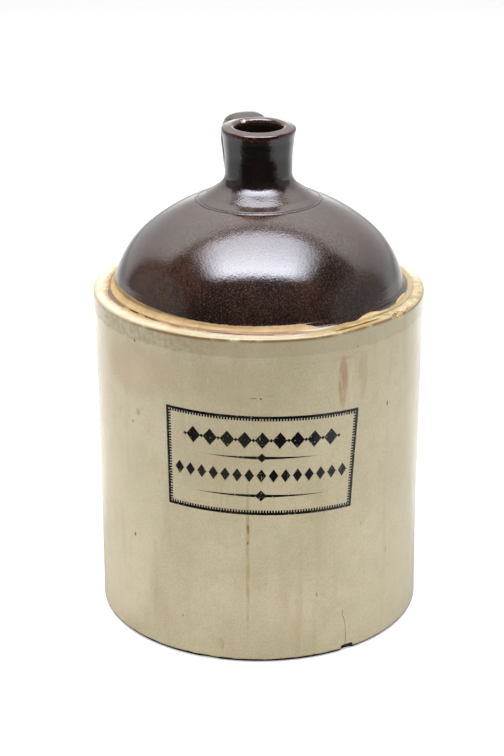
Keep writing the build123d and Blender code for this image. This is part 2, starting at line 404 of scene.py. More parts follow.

# Marks of making and wear: stains, a drip, specks and scratches, and a pale streak that is a painted
# highlight
thin_from = rim_top - line_below_rim
under_rim = cream.rise(cream.plus(up, cream.times(small, 4.0)), thin_from, thin_from + 1.5)
colour = cream.lay(colour, (168, 156, 128), under_rim, 0.3)
thin_left = cream.times(under_rim, cream.between(around, -150.0, -27.0, 22.0))
patchy = cream.rise(cream.mottle(3.0, 20.0, 5.0), 0.35, 0.65)
colour = cream.lay(colour, (146, 124, 94), thin_left, patchy, 0.35)
for turn, height, half_width, half_height, strength, shade in (
    (-45, 157, 32, 19, 0.34, (182, 150, 114)),
    (-8, 158, 30, 14, 0.25, (184, 164, 124)),
    (28.7, 155.5, 3.4, 17, 0.75, (180, 142, 110)),
    # a pale streak among the tan stains: a painted highlight, a soft upright reflection
    (32.2, 154.5, 2.0, 15, 0.55, (224, 212, 194)),
    (36.6, 158, 3.8, 17, 0.42, (184, 156, 120)),
    (29.3, 168.8, 6, 1.2, 0.45, (196, 158, 132)),
    (-3.8, 60, 1.3, 52, 0.55, (176, 148, 98)),
    (-3.7, 78, 0.9, 3.5, 0.8, (138, 104, 56)),
    (-3.7, 70, 0.6, 1.2, 0.85, (112, 84, 50)),
    (-13.2, 9.8, 2.2, 5, 0.5, (180, 144, 88)),
    (-10.8, 139.4, 1.6, 2.4, 0.6, (160, 130, 84)),
    (-1.7, 151.0, 2.3, 0.35, 0.7, (126, 92, 66)),
    (3.2, 152.3, 3.6, 0.3, 0.6, (140, 106, 78)),
    (0.6, 150.8, 0.6, 0.6, 0.9, (70, 50, 40)),
    (-48.3, 61.2, 0.9, 1.2, 1.0, (46, 34, 26)),
    (-27.1, 23.1, 0.6, 0.9, 0.9, (80, 62, 44)),
    (34.1, 173.6, 0.6, 0.8, 0.9, (80, 60, 46)),
    (-58.4, 148.3, 0.7, 0.9, 0.9, (90, 68, 50)),
    (-45.4, 172.6, 0.7, 0.9, 0.8, (110, 84, 60)),
    (-45.1, 133.2, 1.7, 2.4, 0.6, (150, 104, 66)),
    (-47.9, 126.8, 0.8, 1.4, 0.65, (134, 98, 66)),
    (48.8, 136.4, 0.8, 1.8, 0.75, (118, 92, 66)),
    (-16.9, 159.1, 0.8, 1.8, 0.5, (224, 212, 190)),
    (20.1, 37.4, 0.4, 1.8, 0.85, (110, 88, 62)),
    (50.1, 50.8, 0.4, 2.6, 0.85, (104, 84, 60)),
    (37.2, 72.7, 0.5, 2.0, 0.7, (130, 104, 72)),
):
    broken = cream.rise(cream.mottle(max(2.5, 1.2 * half_width), turn, 3.0, (1, 1, 3)), 0.25, 0.6)
    colour = cream.lay(colour, shade, mark(turn, height, half_width, half_height), broken, strength)
colour = cream.lay(colour, (96, 76, 54), cream.specks(4.5, 6.0, 0.5, 0.45), 0.8)
colour = cream.lay(colour, (136, 98, 62), cream.specks(11, 7.0, 0.4, 0.6, (1, 1, 1.6)), 0.7)
crack_bend = cream.times(cream.rise(up, 25.0, 14.0), 2.2)
crack_route = cream.plus(45.6, crack_bend, cream.times(cream.mottle(3, 8.0), 1.6))
crack = cream.rise(cream.math("ABSOLUTE", cream.minus(around, crack_route)), 0.32, 0.1)
colour = cream.lay(colour, (112, 84, 54), crack, cream.between(up, 3.0, 25.0, 1.0), 0.7)

# The stamp: a toothed frame in blue-black ink under the glaze, with rows of printer's lozenges in it
stamp_turn, stamp_z = 0.9, 113.7
stamp_half_width, stamp_half_height = 51.4, 27.5
stamp_lean = radians(-1.5)
stamp_spread = 0.0008
tooth_pitch, tooth_reach, edge_line = 1.5, 2.7, 1.5
across = cream.minus(around, radians(stamp_turn) * body_r)
above = cream.minus(up, stamp_z)
stamp_x = cream.plus(cream.times(across, cos(stamp_lean)), cream.times(above, sin(stamp_lean)))
stamp_y = cream.minus(cream.times(above, cos(stamp_lean)), cream.times(across, sin(stamp_lean)))
stamp_x = cream.times(stamp_x, cream.minus(1.0, cream.times(stamp_y, stamp_spread)))
from_side = cream.minus(stamp_half_width, cream.math("ABSOLUTE", stamp_x))
from_top = cream.minus(stamp_half_height, cream.math("ABSOLUTE", stamp_y))
depth_in = cream.math("SMOOTH_MIN", from_side, from_top, 0.8)
upright = cream.math("LESS_THAN", from_side, from_top)
along = cream.plus(cream.times(upright, stamp_y), cream.times(cream.minus(1.0, upright), stamp_x))
teeth = cream.rise(cream.math("PINGPONG", along, tooth_pitch / 2), 0.18, 0.36)
teeth = cream.times(teeth, cream.rise(depth_in, tooth_reach + 0.1, tooth_reach - 0.1))
ink = cream.most(teeth, cream.rise(depth_in, edge_line + 0.1, edge_line - 0.1))
ink = cream.times(ink, cream.rise(depth_in, -0.08, 0.08))


def lozenges(row, length, height, pitch, count):
    """Ink of a row of lozenges, |x| / length + |y| / height < 1, at a pitch about the stamp's middle."""
    place = cream.plus(stamp_x, pitch * count / 2)
    near = cream.math("ABSOLUTE", cream.minus(cream.math("FLOORED_MODULO", place, pitch), pitch / 2))
    level = cream.math("ABSOLUTE", cream.minus(stamp_y, row))
    shape = cream.plus(cream.times(near, 1 / length), cream.times(level, 1 / height))
    in_row = cream.math("LESS_THAN", cream.math("ABSOLUTE", stamp_x), pitch * count / 2)
    return cream.times(cream.rise(shape, 1.05, 0.92), in_row)


for row in (
    (14.2, 3.9, 4.7, 9.0, 9), (14.2, 1.1, 1.1, 9.0, 10),
    (4.6, 30, 0.9, 90, 1), (4.6, 2.6, 2.6, 90, 1),
    (-5.4, 2.6, 3.8, 6.3, 15),
    (-16.6, 36, 0.9, 90, 1), (-16.6, 3.2, 3.2, 90, 1),
):
    ink = cream.most(ink, lozenges(*row))
ink = cream.times(ink, cream.rise(cream.mottle(1.2, 9.0), 0.22, 0.4))
ink = cream.times(ink, cream.plus(0.9, cream.times(broad, 0.2)))
colour = cream.lay(colour, (13, 14, 19), ink)

# Ledge, rim and foot: the glaze is thin and golden on the ledge, worn at the rim and off the chips.
# The foot's dark band is bare clay with painted shade, and the chips near the foot get painted shade.
ledge = cream.read("ledge")
golden = cream.rise(cream.mottle(8, 10.0, 4.0), 0.45, 0.6)
right_side = cream.between(around, 28.0, 145.0, 14.0)
wavy = cream.times(cream.minus(cream.mottle(5, 17.0), 0.5), 0.5)
across_ledge = cream.plus(cream.read("across"), wavy)
ledge_colour = cream.lay((182, 168, 138), (156, 122, 72), cream.rise(across_ledge, 0.34, 0.1))
thick = cream.between(across_ledge, 0.4, 0.7, 0.1)
thick = cream.times(thick, cream.rise(cream.mottle(11, 18.0), 0.3, 0.55))
thick = cream.times(thick, cream.minus(1.0, cream.times(right_side, 0.5)))
ledge_colour = cream.lay(ledge_colour, (212, 204, 184), thick, 0.7)
ledge_colour = cream.lay(ledge_colour, (162, 150, 122), cream.between(around, -50.0, 50.0, 30.0), 0.5)
ledge_colour = cream.lay(ledge_colour, (150, 136, 96), right_side, 0.8)
ledge_colour = cream.lay(ledge_colour, (140, 112, 64), golden, right_side, 0.85)
flakes = cream.times(cream.rise(cream.mottle(4.5, 19.0, 4.0), 0.5, 0.54), right_side, 0.75)
ledge_colour = cream.lay(ledge_colour, (176, 158, 114), flakes)
pale_patches = cream.rise(cream.mottle(3, 11.0), 0.5, 0.75)
ledge_colour = cream.lay(ledge_colour, (200, 188, 162), pale_patches, 0.4)
ledge_colour = cream.lay(ledge_colour, (92, 66, 38), cream.specks(3.5, 12.0, 0.4, 0.5), right_side, 0.8)
scored = cream.between(around, 42.0, 69.0, 3.0)
outer_band = cream.between(across_ledge, 0.6, 1.1, 0.05)
ledge_colour = cream.lay(ledge_colour, (164, 124, 58), scored, outer_band, 0.8)
scored_line = cream.between(cream.read("across"), 0.52, 0.74, 0.05)
ledge_colour = cream.lay(ledge_colour, (80, 54, 18), scored, scored_line, 0.9)
colour = cream.lay(colour, ledge_colour, ledge)
edge_worn = cream.times(cream.read("edge"), cream.rise(cream.mottle(9, 13.0), 0.3, 0.5))
colour = cream.lay(colour, (122, 92, 44), edge_worn, 0.9)
# A dark band round the foot: the bare foot's brown, with painted shade on the bevel that faces the table
foot = cream.rise(cream.plus(up, cream.times(small, 1.6)), 3.2, 2.5)
colour = cream.lay(colour, (50, 37, 25), foot)
chip_clay_and_shade = cream.lay((112, 84, 46), (186, 156, 106), cream.rise(cream.mottle(1.4, 14.0), 0.4, 0.6))
# painted shade: chips near the foot are darkened as the shadowed inside of a notch
chip_clay_and_shade = cream.lay(chip_clay_and_shade, (54, 39, 26), cream.rise(up, 12.0, 8.0))
chipped = cream.plus(cream.read("chipped"), cream.times(grain, 0.3))
colour = cream.lay(colour, chip_clay_and_shade, cream.rise(chipped, 0.3, 0.5))
colour = cream.lay(colour, (46, 30, 23), cream.rise(cream.read("inside"), 0.4, 0.6))
gloss = cream.plus(0.13, cream.times(small, 0.16))
ripple = cream.plus(cream.mottle(1.5, 15.0), cream.times(cream.mottle(9, 16.0), 2.0))
jug_body.data.materials.append(cream.finish(colour, gloss, ripple, depth=0.07, ior=1.5))
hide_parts("body")
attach(jug_body, "root")

# Shoulder seam: the slip that lutes the dome into the rim, squeezed up as an uneven bead between the
# two and left bare. It is pinkish, with a purple-brown gap where the slip fell short on the left.
dome_foot_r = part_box("shoulder_dome")[1].x / MM
dome_foot_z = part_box("shoulder_dome")[0].z / MM


def dome_foot_shift(degrees):
    """How far in from its circle the dome's foot is at a turn: most on the left, least behind."""
    before = 0.8 * rise(degrees, -45, -15) + 0.4 * rise(degrees, 14, 26)
    return 1.5 * hump(degrees, -62, 80) + before * (1 - rise(degrees, 120, 150))


seam_line = rounded_line(
    [
        (opening_r, seat_z),
        (ledge_inner_r, seat_z),
        (ledge_inner_r, rim_top - 0.3),
        (ledge_inner_r - 0.2, rim_top + 0.2),
        (dome_foot_r + 0.1, rim_top + 0.35),
        (dome_foot_r, rim_top - 0.2),
        (dome_foot_r, dome_foot_z),
        (opening_r, dome_foot_z),
    ],
    [0, 0, 0.1, 0.25, 0.25, 0.1, 0, 0],
    [6, 3, 1, 0.5, 1, 3, 6, 1],
    ring=True,
)
seam_turn = turns((-90, -50, 120), (0, 80, 160))
seam_degrees = np.degrees(seam_turn)
line_r, line_z = (values[:, None] for values in seam_line)
missing = slip_gap(seam_degrees)
bead_top = rise(line_z, rim_top - 0.6, rim_top)
bead = bead_top * (0.3 * drift(seam_turn, 0, (7, 11, 19, 31, 53)) - 0.8 * missing)
inner_edge = 1 - rise(line_r, dome_foot_r + 0.2, dome_foot_r + 0.6)
covered = rise(seam_degrees, 8, 24) * (1 - rise(seam_degrees, 120, 150))
foot_shift = dome_foot_shift(seam_degrees)
seam_shift = foot_shift * inner_edge + (ledge_shift(seam_degrees) - 0.7 * covered) * (1 - inner_edge)
bead = bead + bead_top * (rim_lift(seam_degrees) * (1 - inner_edge) + 0.12 * covered)
seam_shift = seam_shift * rise(line_z, seat_z + 1, rim_top - 0.3)
shoulder_seam = surface(
    "shoulder_seam",
    round_the_axis(line_r - seam_shift, line_z + bead, seam_turn),
    gap=missing,
    covered=covered,
    middle=hump(line_r, (ledge_inner_r + dome_foot_r) / 2, (ledge_inner_r - dome_foot_r) / 2),
    outer=rise(line_r, ledge_inner_r - 0.5, ledge_inner_r - 0.2),
    inner=inner_edge * (hump(seam_degrees, 21, 9) + hump(seam_degrees, 51, 5)) ** 0.5,
)
slip = Recipe(bpy.data.materials.new("bare_slip"))
colour = slip.lay((152, 122, 98), (136, 106, 90), slip.rise(slip.mottle(5, 1.0), 0.35, 0.65))
dark_patches = slip.rise(slip.mottle(9, 4.0, 3.0, (1, 1, 0.3)), 0.4, 0.55)
colour = slip.lay(colour, (106, 86, 78), dark_patches, 0.6)
colour = slip.lay(colour, (196, 166, 134), slip.rise(slip.read("middle"), 0.45, 0.1))
colour = slip.lay(colour, (150, 132, 92), slip.read("covered"), 0.8)
# painted reflection: light grey on the seam's inner edge at two turns, where the dome's glaze edge
# shines
colour = slip.lay(colour, (190, 180, 178), slip.rise(slip.read("inner"), 0.2, 0.6), 0.8)
crease = slip.times(slip.read("outer"), slip.rise(slip.mottle(8, 2.0), 0.4, 0.55))
colour = slip.lay(colour, (92, 66, 56), crease, slip.rise(slip.read("covered"), 0.5, 0.0))
colour = slip.lay(colour, (92, 74, 70), slip.rise(slip.read("gap"), 0.2, 0.5))
shoulder_seam.data.materials.append(
    slip.finish(colour, roughness=0.35, relief=slip.mottle(0.8, 3.0), depth=0.15, ior=1.5)
)
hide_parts("shoulder_seam_slip")
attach(shoulder_seam, "root")

# Dome: the shoulder, thrown as a bowl and turned over. A thick glossy brown slip glaze covers it down
# to a bare golden skirt at its foot, where the glaze ends in an uneven rolled edge.
crown_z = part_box("shoulder_dome")[1].z / MM
dome_r, spring_z = 78.1, 186.3
skirt_z = 183.5
dome_wall = 8.0
dome_lean = radians(13.2)
knee_radius, knee_sweep = 52.0, radians(37.0)
crown_r = 34.0
throat_r = 20.0
crown_thickness = 6.0
skirt_joins = 4


def dome_face(radius, start_r, start_z, end_r, end_z, steps):
    """One face of the dome: the knee, an arc that leans in from its start, then the arc that leaves the
    knee in line with it and ends at the neck's seat."""
    centre = np.array([start_r - radius * cos(dome_lean), start_z - radius * sin(dome_lean)])
    angle = np.linspace(dome_lean, dome_lean + knee_sweep, steps)
    knee = centre + radius * np.stack([np.cos(angle), np.sin(angle)], -1)
    out = np.array([cos(angle[-1]), sin(angle[-1])])
    chord = np.array([end_r, end_z]) - knee[-1]
    crown_radius = -(chord @ chord) / (2 * chord @ out)
    middle = knee[-1] - crown_radius * out
    ends = np.arctan2(*(np.stack([knee[-1], [end_r, end_z]]) - middle).T[::-1])
    angle = np.linspace(*ends, steps)[1:]
    return np.vstack([knee, middle + crown_radius * np.stack([np.cos(angle), np.sin(angle)], -1)])


outer_face = dome_face(knee_radius, dome_r, spring_z, crown_r, crown_z, 24)
inner_start = (opening_r, spring_z - dome_wall * sin(dome_lean))
inner_end = (throat_r, crown_z - crown_thickness)
inner_face = dome_face(knee_radius - dome_wall, *inner_start, *inner_end, 16)
skirt_line = rounded_line(
    [
        (opening_r, dome_foot_z),
        (dome_foot_r, dome_foot_z),
        (dome_foot_r, skirt_z),
        (dome_r, spring_z),
        outer_face[skirt_joins],
    ],
    [0, 0.3, 0.8, 1.5, 0],
    [6, 1, 0.3, 0.4],
).T
outside_line = np.vstack([skirt_line[:-1], outer_face[skirt_joins:]])
dome_line = np.vstack([outside_line, [(throat_r, crown_z)], inner_face[::-1], skirt_line[:1]]).T
outside_rows = np.arange(dome_line.shape[1])[:, None] < len(outside_line)
dome_turn = turns((-100, 10, 130), (10, 95, 200))
dome_degrees = np.degrees(dome_turn)
line_r, line_z = (values[:, None] for values in dome_line)
glaze_edge = (
    spring_z
    - 0.4
    + 2.9 * hump(dome_degrees, -72, 62)
    - 2.3 * rise(dome_degrees, 15, 24) * (1 - rise(dome_degrees, 110, 140))
    + 1.4 * hump(dome_degrees, 45.5, 7.5)
    + 0.9 * hump(dome_degrees, 70, 8)
    + 0.15 * drift(dome_turn, 0, (9, 13, 23, 41))
)
rolled_edge = 0.05 * rise(line_z - glaze_edge, -0.4, 0.2) * (1 - rise(line_z - glaze_edge, 0.6, 12))
on_face = outside_rows & (line_z > dome_foot_z + 1)
hidden_face = np.where(line_z > spring_z, 15, -5)
foot_shift = dome_foot_shift(dome_degrees) * rise(line_z, dome_foot_z + 1, rim_top - 0.5)
foot_shift = foot_shift * (1 - rise(line_z, 184, spring_z + 2.4 * hump(dome_degrees, -72, 62)))
uneven = 0.3 * drift(dome_turn, line_z, (2, 3, 5)) * rise(line_z, spring_z, spring_z + 10)
uneven = uneven * (1 - rise(line_z, crown_z - 12, crown_z))
jug_dome = surface(
    "jug_dome",
    round_the_axis(line_r + outside_rows * (rolled_edge + uneven - foot_shift), line_z, dome_turn),
    above_edge=np.where(on_face, line_z - glaze_edge, hidden_face),
    right=rise(dome_degrees, 24, 36) * (1 - rise(dome_degrees, 110, 150)),
    upper=rise(line_z, 203, 218),
    ruddy=hump(dome_degrees, -46, 42) * hump(line_z, 203, 24) + 0.5 * rise(line_z, 206, 226),
)


def brown_slip(recipe, seed):
    """Colour of the brown slip glaze: nearly black where thick, redder where thin, with a fine grain."""
    clouds = recipe.rise(recipe.mottle(34, seed), 0.36, 0.66)
    colour = recipe.lay((27, 17, 14), (56, 35, 27), clouds)
    colour = recipe.lay(colour, (32, 20, 17), recipe.rise(recipe.mottle(9, seed + 1), 0.45, 0.7), 0.6)
    grain = recipe.mottle(0.85, seed + 2, 2.0)
    colour = recipe.lay(colour, (66, 58, 56), recipe.rise(grain, 0.48, 0.66), 0.7)
    colour = recipe.lay(colour, (10, 4, 3), recipe.rise(grain, 0.48, 0.34), 0.7)
    return recipe.lay(colour, (168, 148, 130), recipe.specks(6, seed + 3, 0.35, 0.4), 0.7)


def brown_glaze(recipe, colour, seed, bare=0.0, depth=0.06):
    """The brown slip glaze: a wet shine over a fine orange peel, or dull where the clay is bare."""
    peel = recipe.times(recipe.mottle(4, seed + 1, 2.0), 0.8)
    peel = recipe.plus(recipe.mottle(1.1, seed, 2.0), peel)
    peel = recipe.minus(peel, recipe.times(recipe.specks(2.0, seed + 3, 0.4, 0.35), 0.7))
    gloss = recipe.plus(0.05, recipe.times(recipe.mottle(1.2, seed + 2), 0.18), recipe.times(bare, 0.7))
    return recipe.finish(colour, gloss, peel, depth, ior=1.8)


shoulder = Recipe(bpy.data.materials.new("brown_glaze_dome"))
uneven_edge = shoulder.times(shoulder.minus(shoulder.mottle(2.2, 9.0), 0.5), 0.8)
bare = shoulder.rise(shoulder.plus(shoulder.read("above_edge"), uneven_edge), 0.12, -0.12)
clouds = shoulder.rise(shoulder.mottle(7, 4.0), 0.35, 0.65)
pale_patches = shoulder.rise(shoulder.mottle(2.5, 5.0), 0.55, 0.75)
skirt = shoulder.lay((184, 156, 108), (168, 140, 92), clouds)
skirt = shoulder.lay(skirt, (196, 170, 126), pale_patches, 0.7)
skirt = shoulder.lay(skirt, (196, 172, 124), shoulder.read("right"), 0.6)
glaze = brown_slip(shoulder, 10.0)
patchy = shoulder.rise(shoulder.mottle(2.6, 6.0, 4.0), 0.25, 0.7)
glaze = shoulder.lay(glaze, (80, 50, 36), shoulder.read("ruddy"), patchy, 0.65)
fine = shoulder.mottle(0.8, 7.0, 3.0)
glaze = shoulder.lay(glaze, (84, 72, 68), shoulder.rise(fine, 0.45, 0.7), shoulder.read("upper"), 0.6)
colour = shoulder.lay(glaze, skirt, bare)
jug_dome.data.materials.append(brown_glaze(shoulder, colour, 20.0, bare))
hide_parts("shoulder_dome")
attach(jug_dome, "root")

# Neck: thrown apart, with a spread foot that sits on the dome's crown, a waisted stem and a rolled lip
# that leans to the front. The glaze has run off the lip's edge, where the red clay shows through it.
neck_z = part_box("neck")[0].z / MM
collar_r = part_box("neck")[1].x / MM
neck_height, mouth_rise = 38.1, 0.4
mouth_z = neck_z + neck_height
waist_z, bore_end_z = neck_z + 23, neck_z + 12
neck_r, stem_r = 17.9, 18.9
lip_r = 19.65
mouth_r = 12.7
lip_top, lip_low, stem_top = mouth_z - 0.9, mouth_z - 2.6, mouth_z - 6.0
lip_lean = 0.045
collar_edge_z = neck_z + 0.45
collar_fold_r = 28.5
lap_slope, collar_slope = radians(22), radians(34)
collar_fold_z = collar_edge_z + (collar_r - collar_fold_r) * tan(lap_slope)
collar_corner_z = collar_fold_z + (collar_fold_r - neck_r) * tan(collar_slope)
neck_line = rounded_line(
    [
        (throat_r, neck_z),
        (collar_r, neck_z),
        (collar_r, collar_edge_z),
        (collar_fold_r, collar_fold_z),
        (neck_r, collar_corner_z),
        (neck_r, waist_z),
        (stem_r, stem_top),
        (lip_r, lip_low),
        (lip_r, lip_top),
        (mouth_r, mouth_z + mouth_rise),
        (mouth_r, bore_end_z),
    ],
    [0, 0, 0.6, 8, 9, 40, 9, 1.2, 1.3, 2.2, 7],
    [4, 1, 1.0, 1.0, 1.5, 1.5, 0.5, 0.5, 0.8, 2, 2],
    ring=True,
)
neck_turn = turns()
line_r, line_z = (values[:, None] for values in neck_line)
on_stem = rise(line_r, mouth_r + 3, mouth_r + 4) * rise(line_z, neck_z + 2, neck_z + 8)
lean = lip_lean * (lip_r - line_r * np.cos(neck_turn)) * rise(line_z, neck_z + 18, lip_low)
lip_thin = hump(line_r, lip_r, 1.8) * rise(line_z, lip_low - 1.6, lip_low - 0.6)
lip_thin = lip_thin * (1 - rise(line_z, lip_top, lip_top + 0.6))
neck_degrees = np.degrees(neck_turn)
lip_chip = hump(neck_degrees, -141, 8) ** 0.5 * hump(line_r, mouth_r + 0.6, 1.6)
lip_chip = lip_chip * rise(line_z, mouth_z - 2.2, mouth_z - 0.6)
flush = 1 - hump(neck_degrees, 4, 50)
on_lap = rise(line_r, collar_fold_r, collar_r) * rise(line_z, neck_z + 0.05, neck_z + 0.3)
jug_neck = surface(
    "jug_neck",
    round_the_axis(
        line_r + 0.15 * drift(neck_turn, line_z, (2, 3, 5)) * on_stem + 0.5 * lip_chip,
        line_z + lean - 0.5 * lip_chip - 0.33 * flush * on_lap,
        neck_turn,
    ),
    thin=lip_thin,
    thick=rise(line_z, neck_z + 6, neck_z + 13) * (1 - rise(line_z, lip_low - 1.5, lip_low)),
    bright=(1 - rise(line_z, neck_z + 4, neck_z + 10)) + rise(line_z, lip_low, lip_top),
    chipped=lip_chip,
    glint=hump(neck_degrees, -14, 34),
)
handle_side = np.argmin(np.abs(neck_degrees - np.degrees(view_turn) + 180))
mouth_row = np.argmax(line_z)
neck_side_r, neck_side_z = line_r[:mouth_row, 0], (line_z + lean)[:mouth_row, handle_side]
stem = Recipe(bpy.data.materials.new("brown_glaze_neck"))
thin = stem.times(stem.rise(stem.read("thin"), 0.15, 0.6), stem.rise(stem.mottle(4, 8.0), 0.2, 0.45))
colour = stem.lay(brown_slip(stem, 30.0), (15, 9, 8), stem.read("thick"), 0.75)
patchy = stem.rise(stem.mottle(1.4, 6.0), 0.1, 0.8)
colour = stem.lay(colour, (78, 55, 45), stem.read("bright"), patchy, 0.6)
colour = stem.lay(colour, (40, 11, 4), thin, 0.95)
glint = stem.times(thin, stem.read("glint"), stem.rise(stem.mottle(2.0, 7.0), 0.45, 0.6))
colour = stem.lay(colour, (140, 78, 36), glint, 0.4)
chipped = stem.plus(stem.read("chipped"), stem.times(stem.mottle(1.0, 5.0), 0.4))
colour = stem.lay(colour, (150, 128, 98), stem.rise(chipped, 0.55, 0.75))
jug_neck.data.materials.append(brown_glaze(stem, colour, 33.0, depth=0.09))
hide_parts("neck")
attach(jug_neck, "root")

# Neck seam: the slip under the neck's foot, wiped round it to a small fillet and glazed over.
neck_seam_line = rounded_line(
    [
        (throat_r, crown_z),
        (crown_r, crown_z),
        (collar_r + 0.1, neck_z + 0.35),
        (collar_r - 0.6, neck_z),
        (throat_r, neck_z),
    ],
    [0, 0, 0.4, 0, 0],
    [5, 0.4, 0.4, 5, 1],
    ring=True,
)
line_r, line_z = (values[:, None] for values in neck_seam_line)
on_lap = rise(line_z, neck_z + 0.05, neck_z + 0.3)
neck_seam = surface("neck_seam", round_the_axis(line_r, line_z - 0.3 * flush * on_lap, neck_turn))
neck_seam.data.materials.append(stem.owner)
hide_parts("neck_seam_slip")
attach(neck_seam, "root")

# Strap handle: a pulled strap of clay from the neck, over a bend and down to the dome, where its tail
# is pressed out. It is flat to the fingers, crowned outside and under the same brown glaze.
strap_thickness = 9.5
strap_clearance, strap_rise = 1.2, 1.8
tail_length, tail_lift, tail_bend_radius = 7.0, 3.0, 9.0
tail_sunk, tail_depth = 2.5, 2.4
side_fullness, crown_fullness, flat_fullness = 0.75, 0.9, 0.5
strap_y = crown_r + strap_clearance + strap_thickness / 2
bend_radius = 12.5
root_slope = radians(22.0)
root_y = neck_r / 2
bore_wall = 14.5
bend_y = strap_y - bend_radius
bend_z = mouth_z + strap_rise - strap_thickness / 2 - bend_radius
root_z = bend_z + bend_radius / cos(root_slope) + (root_y - bend_y) * tan(root_slope)
bend_top = bend_z + bend_radius * (1 / cos(root_slope) + tan(root_slope))
tail_y = strap_y + strap_thickness / 2 + tail_length
sunk_y = tail_y + tail_sunk
dome_heights = np.interp([strap_y, tail_y, sunk_y], *outer_face[::-1].T)
strap_route = rounded_line(
    [
        (root_y, root_z),
        (strap_y, bend_top),
        (strap_y, dome_heights[0] + tail_lift),
        (tail_y, dome_heights[1]),
        (sunk_y, dome_heights[2] - tail_depth),
    ],
    [0, bend_radius, tail_bend_radius, 0, 0],
    [0.8, 1.2, 0.8, 0.5],
).T
heading = np.gradient(strap_route, axis=0)
heading /= np.linalg.norm(heading, axis=1)[:, None]
length = np.cumsum(np.linalg.norm(np.diff(strap_route, axis=0, prepend=strap_route[:1]), axis=1))
share = length / np.interp(tail_y, strap_route[:, 0], length)
stations = [0.0, 0.27, 0.5, 0.87, 1.0]
width = np.interp(share, stations, [15.5, 21.2, 22.8, 16.4, 12.0])[:, None]
thickness = np.interp(share, stations, [7.0, 9.5, 9.5, 7.0, 3.0])[:, None]
section = np.linspace(0, 2 * pi, 49)
outwards = -np.sin(section)
sideways = np.cos(section)
side = np.sign(sideways) * np.abs(sideways) ** side_fullness * width / 2
fullness = np.where(outwards > 0, crown_fullness, flat_fullness)
deep = np.sign(outwards) * np.abs(outwards) ** fullness * thickness / 2
strap_points = np.stack(
    [side, strap_route[:, :1] - heading[:, 1:] * deep, strap_route[:, 1:] + heading[:, :1] * deep], -1
)
strap_points = strap_points[strap_route[:, 0] > bore_wall]
ends = np.repeat(strap_points[[0, -1]].mean(axis=1, keepdims=True), len(section), axis=1)
jug_handle = surface("jug_handle", np.concatenate([ends[:1], strap_points, ends[1:]]))
strap = Recipe(bpy.data.materials.new("brown_glaze_handle"))
jug_handle.data.materials.append(brown_glaze(strap, brown_slip(strap, 50.0), 53.0))
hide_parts("strap_handle")
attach(jug_handle, "root")

# Handle seams: the slip at the strap's two ends, smoothed by a wet finger into a fillet between the
# strap and the neck or the dome, and glazed over with them.
seam_reach, seam_spread = 2.2, 2.0


def on_neck(points, depth=0.0):
    """Points moved level to a depth in the neck's outside, and how far out of that they were."""
    radius = np.hypot(points[..., 0], points[..., 1])
    wall = np.interp(points[..., 2], neck_side_z, neck_side_r) - depth
    return points * np.stack([wall / radius, wall / radius, np.ones_like(wall)], -1), radius - wall


def on_dome(points, depth=0.0):
    """Points moved upright to a depth in the dome's outside, and how far above that they were."""
    wall = np.interp(np.hypot(points[..., 0], points[..., 1]), *outer_face[::-1].T) - depth
    return np.stack([points[..., 0], points[..., 1], wall], -1), points[..., 2] - wall


def at_row(lines, row):
    """The place on each line at a row that need not be whole."""
    whole = np.clip(row.astype(int), 0, len(lines) - 2)
    part = (row - whole)[:, None]
    columns = np.arange(lines.shape[1])
    return lines[whole, columns] * (1 - part) + lines[whole + 1, columns] * part


def seam_fillet(name, node, lines, onto):
    """A fillet round the strap's end. On each line along the strap it leaves the strap a reach from the
    wall, bends at their corner C and lands on the wall a spread away: (1-t)^2 A + 2t(1-t) C + t^2 B.
    It is closed under the clay."""
    outside = onto(lines)[1]
    columns = np.arange(lines.shape[1])
    first = np.clip(np.argmax(outside > 0, axis=0), 1, None)
    before, after = outside[first - 1, columns], outside[first, columns]
    row = first - after / (after - before)
    step = np.linalg.norm(lines[first, columns] - lines[first - 1, columns], axis=1)
    corner = at_row(lines, row)
    on_strap = at_row(lines, row + seam_reach / step)
    away = corner - corner[:-1].mean(axis=0)
    away /= np.linalg.norm(away, axis=1)[:, None]
    on_clay = onto(corner + seam_spread * away)[0]
    under = onto(corner - away, 1.0)[0]
    t = np.linspace(0, 1, 9)[:, None, None]
    bend = (1 - t) ** 2 * on_strap + 2 * t * (1 - t) * corner + t**2 * on_clay
    piece = surface(name, np.concatenate([bend, under[None], bend[:1]]))
    piece.data.materials.append(strap.owner)
    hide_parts(node)
    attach(piece, "root")


seam_fillet("handle_upper_seam", "handle_upper_slip", strap_points, on_neck)
seam_fillet("handle_lower_seam", "handle_lower_slip", strap_points[::-1], on_dome)

# The studio: a white table with its near edge before the jug, a wide soft lamp overhead, a pale wall
# that climbs behind and fades at the sides, and a dark room on the eye's side.
table_edge, table_end, table_half, table_drop = 0.4, 40.0, 40.0, 5e-5


def sheet(name, front, back, half):
    """A flat sheet from a front to a back line, half a width to each side, as an object."""
    mesh = bpy.data.meshes.new(name)
    corners = [(-half, front, 0), (half, front, 0), (half, back, 0), (-half, back, 0)]
    mesh.from_pydata(corners, [], [(0, 1, 2, 3)])
    made = bpy.data.objects.new(name, mesh)
    bpy.context.scene.collection.objects.link(made)
    return made


